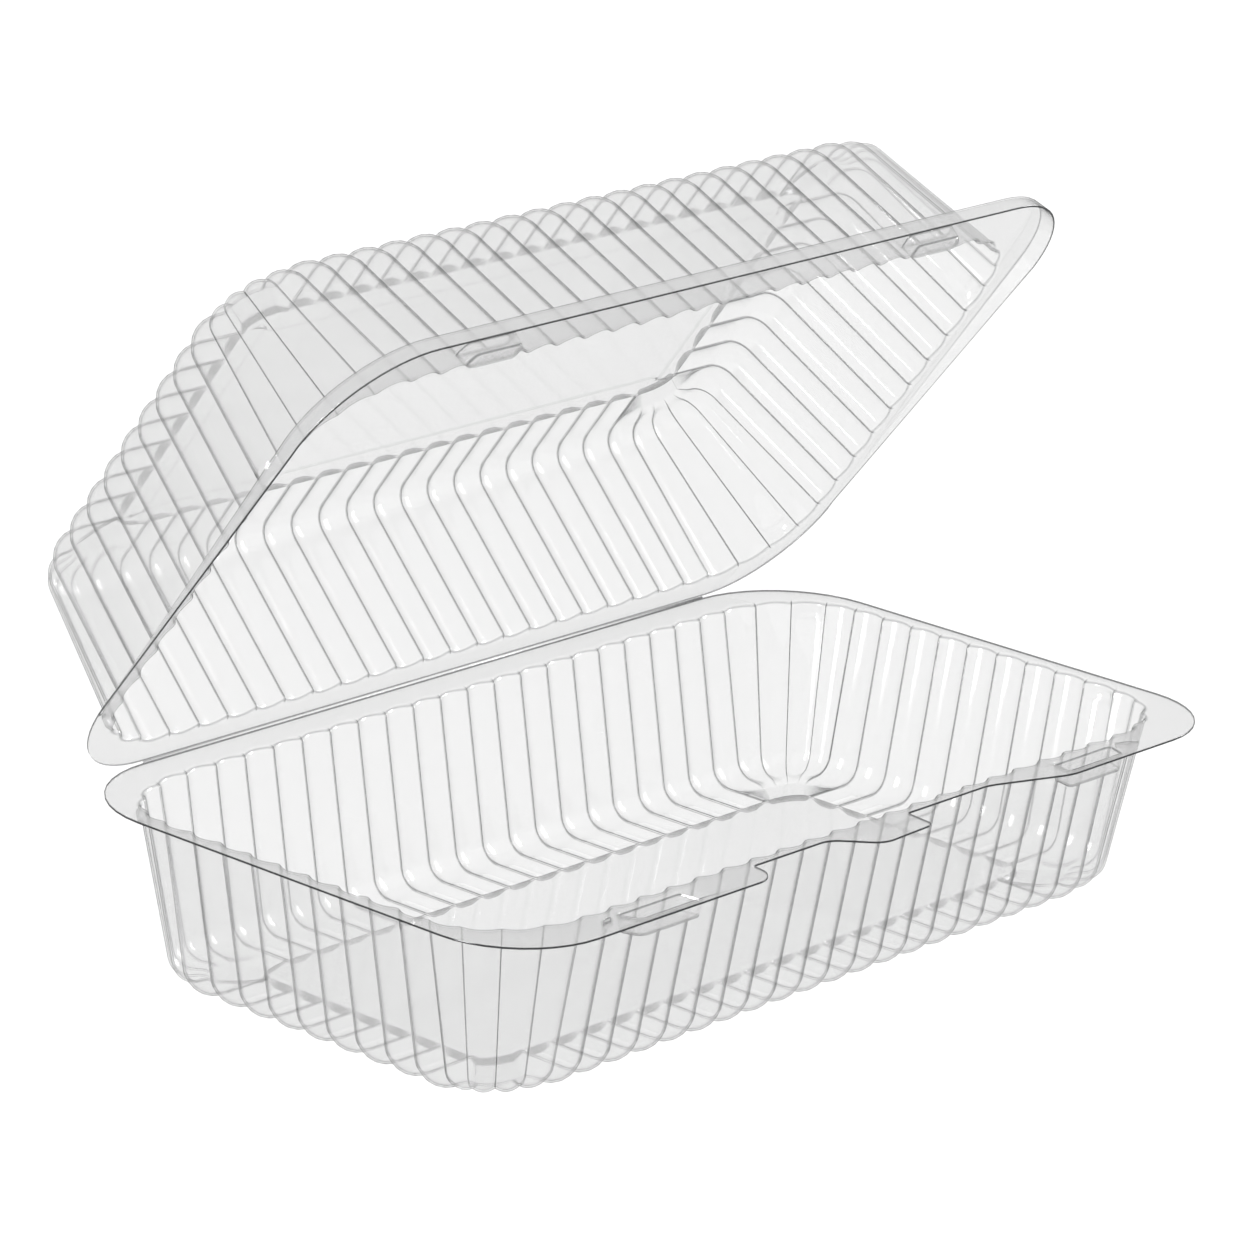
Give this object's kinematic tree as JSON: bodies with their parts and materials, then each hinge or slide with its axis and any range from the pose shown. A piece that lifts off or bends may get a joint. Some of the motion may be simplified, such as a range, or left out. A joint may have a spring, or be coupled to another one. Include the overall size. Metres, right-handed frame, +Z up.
{
  "type": "hinged clamshell food container",
  "caption": "Clear hinged clamshell food container with fluted walls, leaf-edged bottoms, snap pockets and buttons, a thumb tab and a lid that stands open.",
  "frame": {"origin": "on the ground under the centre of the bounding box of the open container, feet at Z = 0", "axes": "+X along the hinge, +Y from the front tab to the hinge, +Z up"},
  "size_m": [0.2406, 0.1644, 0.162],
  "materials": {
    "clear_sheet": "clear, glossy, thermoformed"
  },
  "bodies": {
    "tray": {"tray": "clear_sheet"},
    "lid": {"lid": "clear_sheet"}
  },
  "joints": [
    {"name": "lid_hinge", "type": "hinge", "parent": "tray", "child": "lid", "pos_m": [0, 0.05937, 0.04155], "axis": [-1, 0, 0], "range_deg": [-53.6, 126.4]}
  ]
}
